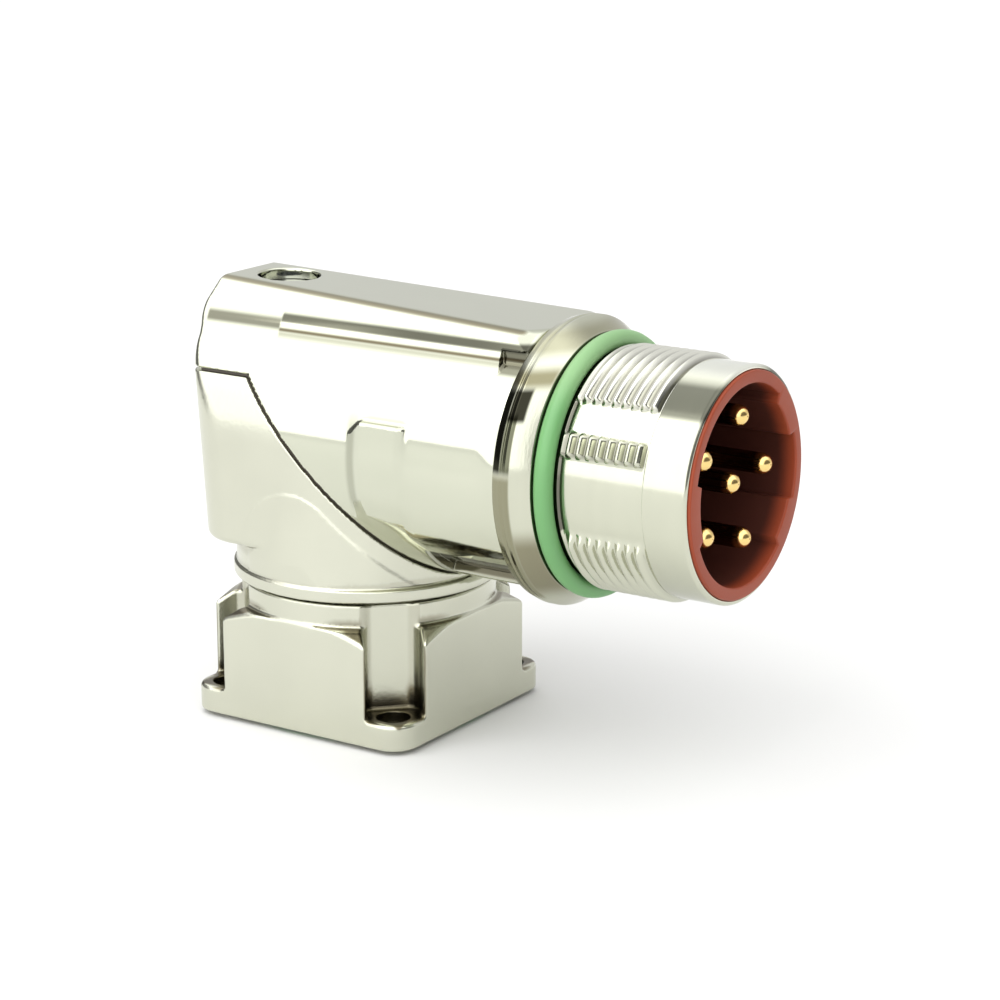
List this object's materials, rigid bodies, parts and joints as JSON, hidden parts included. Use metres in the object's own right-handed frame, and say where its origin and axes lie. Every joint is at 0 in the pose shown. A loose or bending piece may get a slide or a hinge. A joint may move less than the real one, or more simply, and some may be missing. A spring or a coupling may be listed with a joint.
{
  "type": "angled circular receptacle",
  "caption": "Right-angle circular connector receptacle: a round male-pin socket on a mitred metal elbow that swivels on a square panel flange with corner screw holes.",
  "frame": {"origin": "centre of the square flange's mounting face, on the swivel axis", "axes": "+Z along the swivel axis away from the panel, +X out of the barrel's open end with the elbow square to the flange"},
  "size_m": [0.0564, 0.0274, 0.0424],
  "materials": {
    "satin_nickel": "satin nickel plate",
    "polished_nickel": "polished nickel plate",
    "green_rubber": "smooth, slightly glossy",
    "black_rubber": "matte",
    "spring_steel": "bright",
    "brick_plastic": "moulded satin",
    "black_plastic": "moulded satin",
    "gold_contact": "gold plate"
  },
  "bodies": {
    "flange": {"flange_base": "satin_nickel", "flange_seal": "green_rubber", "swivel_seal": "black_rubber", "swivel_clip": "spring_steel", "swivel_stop_pin": "spring_steel"},
    "elbow": {"lower_housing": "satin_nickel", "seam_gasket": "black_rubber", "upper_housing": "polished_nickel", "housing_screw": "spring_steel", "threaded_barrel": "satin_nickel", "barrel_o_ring": "green_rubber", "barrel_joint_seal": "black_rubber", "insulator": "brick_plastic", "contact_retainer": "black_plastic", "insert_circlip": "spring_steel", "contact_pin_1": "gold_contact", "contact_pin_2": "gold_contact", "contact_pin_3": "gold_contact", "contact_pin_4": "gold_contact", "contact_pin_5": "gold_contact", "contact_pin_6": "gold_contact"}
  },
  "joints": [
    {"name": "swivel", "type": "hinge", "parent": "flange", "child": "elbow", "pos_m": [0, 0, 0.0156], "axis": [0, 0, 1], "range_deg": [-165, 165]}
  ]
}
